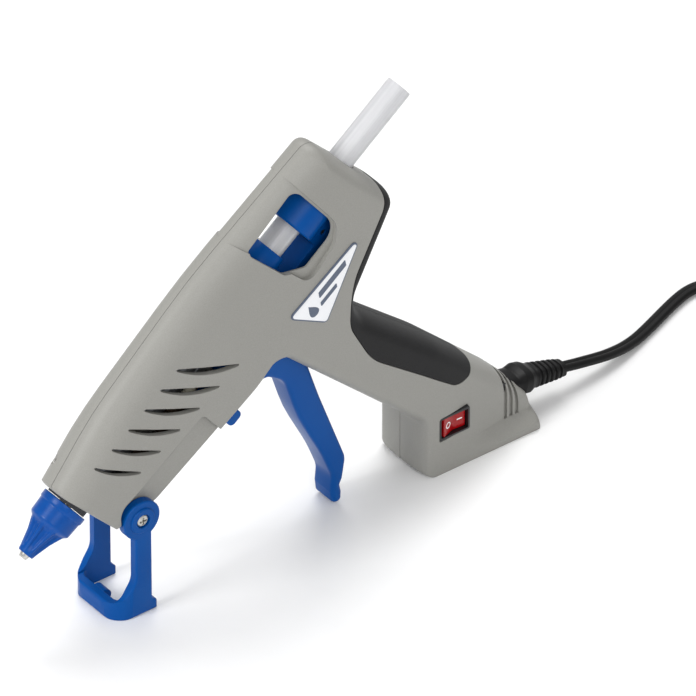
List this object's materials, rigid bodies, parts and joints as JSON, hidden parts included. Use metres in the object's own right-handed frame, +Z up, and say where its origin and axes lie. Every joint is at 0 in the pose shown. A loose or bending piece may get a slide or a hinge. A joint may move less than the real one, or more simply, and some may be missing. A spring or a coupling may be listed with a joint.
{
  "type": "hot melt glue gun",
  "caption": "Corded hot-melt glue gun with a rear-fed glue stick, lever trigger, folding front bail stand and a flat-based handle it stands on.",
  "frame": {"origin": "middle of the standing gun's footprint box (cord left out), on the bench", "axes": "+Z up; the nozzle points towards -X and down at 38.1 degrees, the handle and its base are towards +X; -Y is the gun's left side, with the badge and the switch"},
  "size_m": [0.4836, 0.0615, 0.1969],
  "materials": {
    "housing_abs": "fine-grained matte grey",
    "grip_rubber": "matte charcoal overmould",
    "nozzle_steel": "turned, lightly heat-tinted",
    "blue_silicone": "smooth blue silicone",
    "seal_rubber": "matte dark silicone",
    "chamber_aluminium": "die-cast",
    "heater_ceramic": "film-wrapped heating block",
    "spring_steel": "bare spring steel",
    "pin_steel": "plated",
    "fuse_body": "sealed cream sleeve",
    "blue_abs": "satin blue",
    "glue": "milky translucent hot-melt",
    "badge_silver": "satin silver with a dark border",
    "black_plastic": "satin black",
    "rocker_red": "translucent red with white marks",
    "blue_insulation": "wire insulation",
    "brown_insulation": "wire insulation",
    "contact_brass": "bright",
    "cord_pvc": "satin black flexible PVC",
    "tie_strap": "woven hook-and-loop strap"
  },
  "bodies": {
    "housing": {"left_housing": "housing_abs", "right_housing": "housing_abs", "left_grip": "grip_rubber", "right_grip": "grip_rubber", "nozzle_tip": "nozzle_steel", "nozzle_cover": "blue_silicone", "nozzle_seal": "seal_rubber", "melt_chamber": "chamber_aluminium", "heater_element": "heater_ceramic", "heater_clip": "spring_steel", "thermal_fuse": "fuse_body", "feed_sleeve": "blue_abs", "trigger_pin": "pin_steel", "lever_pin": "pin_steel", "lever_spring": "spring_steel", "bail_screw_left": "pin_steel", "bail_screw_right": "pin_steel", "housing_screw_1": "pin_steel", "housing_screw_2": "pin_steel", "housing_screw_3": "pin_steel", "housing_screw_4": "pin_steel", "housing_screw_5": "pin_steel", "housing_screw_6": "pin_steel", "badge_plate": "badge_silver", "switch_frame": "black_plastic", "neutral_wire": "blue_insulation", "switched_wire": "brown_insulation", "live_wire": "brown_insulation", "power_inlet": "black_plastic", "inlet_pin_left": "contact_brass", "inlet_pin_right": "contact_brass", "power_connector": "cord_pvc", "power_cord": "cord_pvc", "cord_hank": "cord_pvc", "cord_tie": "tie_strap", "cord_tail": "cord_pvc", "mains_plug": "cord_pvc", "plug_blade_left": "contact_brass", "plug_blade_right": "contact_brass"},
    "bail": {"stand_bail": "blue_abs"},
    "catch": {"bail_catch": "blue_abs"},
    "trigger": {"trigger": "blue_abs"},
    "lever": {"feed_lever": "blue_abs"},
    "carriage": {"feed_carriage": "blue_abs", "clamp_pin": "pin_steel"},
    "clamp": {"stick_clamp": "spring_steel"},
    "stick": {"glue_stick": "glue"},
    "rocker": {"switch_rocker": "rocker_red"}
  },
  "joints": [
    {"name": "bail_hinge", "type": "hinge", "parent": "housing", "child": "bail", "pos_m": [-0.07907, 0, 0.0478], "axis": [0, -1, 0], "range_deg": [0, 128]},
    {"name": "trigger_hinge", "type": "hinge", "parent": "housing", "child": "trigger", "pos_m": [-0.02423, 0, 0.09245], "axis": [0, -1, 0], "range_deg": [0, 16], "stiffness_Nm_per_rad": 0.8, "springref_deg": -6.88},
    {"name": "lever_hinge", "type": "hinge", "parent": "housing", "child": "lever", "pos_m": [0.01526, 0, 0.098], "axis": [0, -1, 0], "range_deg": [0, 28.96]},
    {"name": "carriage_slide", "type": "slide", "parent": "housing", "child": "carriage", "axis": [-0.7869, 0, -0.617], "range_m": [0, 0.01201]},
    {"name": "clamp_hinge", "type": "hinge", "parent": "carriage", "child": "clamp", "pos_m": [0.02055, 0, 0.1423], "axis": [0, -1, 0], "range_deg": [0, 6.01]},
    {"name": "stick_slide", "type": "slide", "parent": "carriage", "child": "stick", "axis": [0.7869, 0, 0.617], "range_m": [0, 0.1]},
    {"name": "catch_slide", "type": "slide", "parent": "housing", "child": "catch", "axis": [0.7869, 0, 0.617], "range_m": [0, 0.0025], "stiffness_N_per_m": 400, "springref_m": -0.001},
    {"name": "rocker_hinge", "type": "hinge", "parent": "housing", "child": "rocker", "pos_m": [0.08153, -0.011, 0.0226], "axis": [0, 0, -1], "range_deg": [0, 16]}
  ],
  "couplings": [
    {"joint": "lever_hinge", "follows": "trigger_hinge", "ratio": 1.8097},
    {"joint": "carriage_slide", "follows": "trigger_hinge", "m_per_rad": 0.042972},
    {"joint": "clamp_hinge", "follows": "trigger_hinge", "ratio": 0.375}
  ]
}
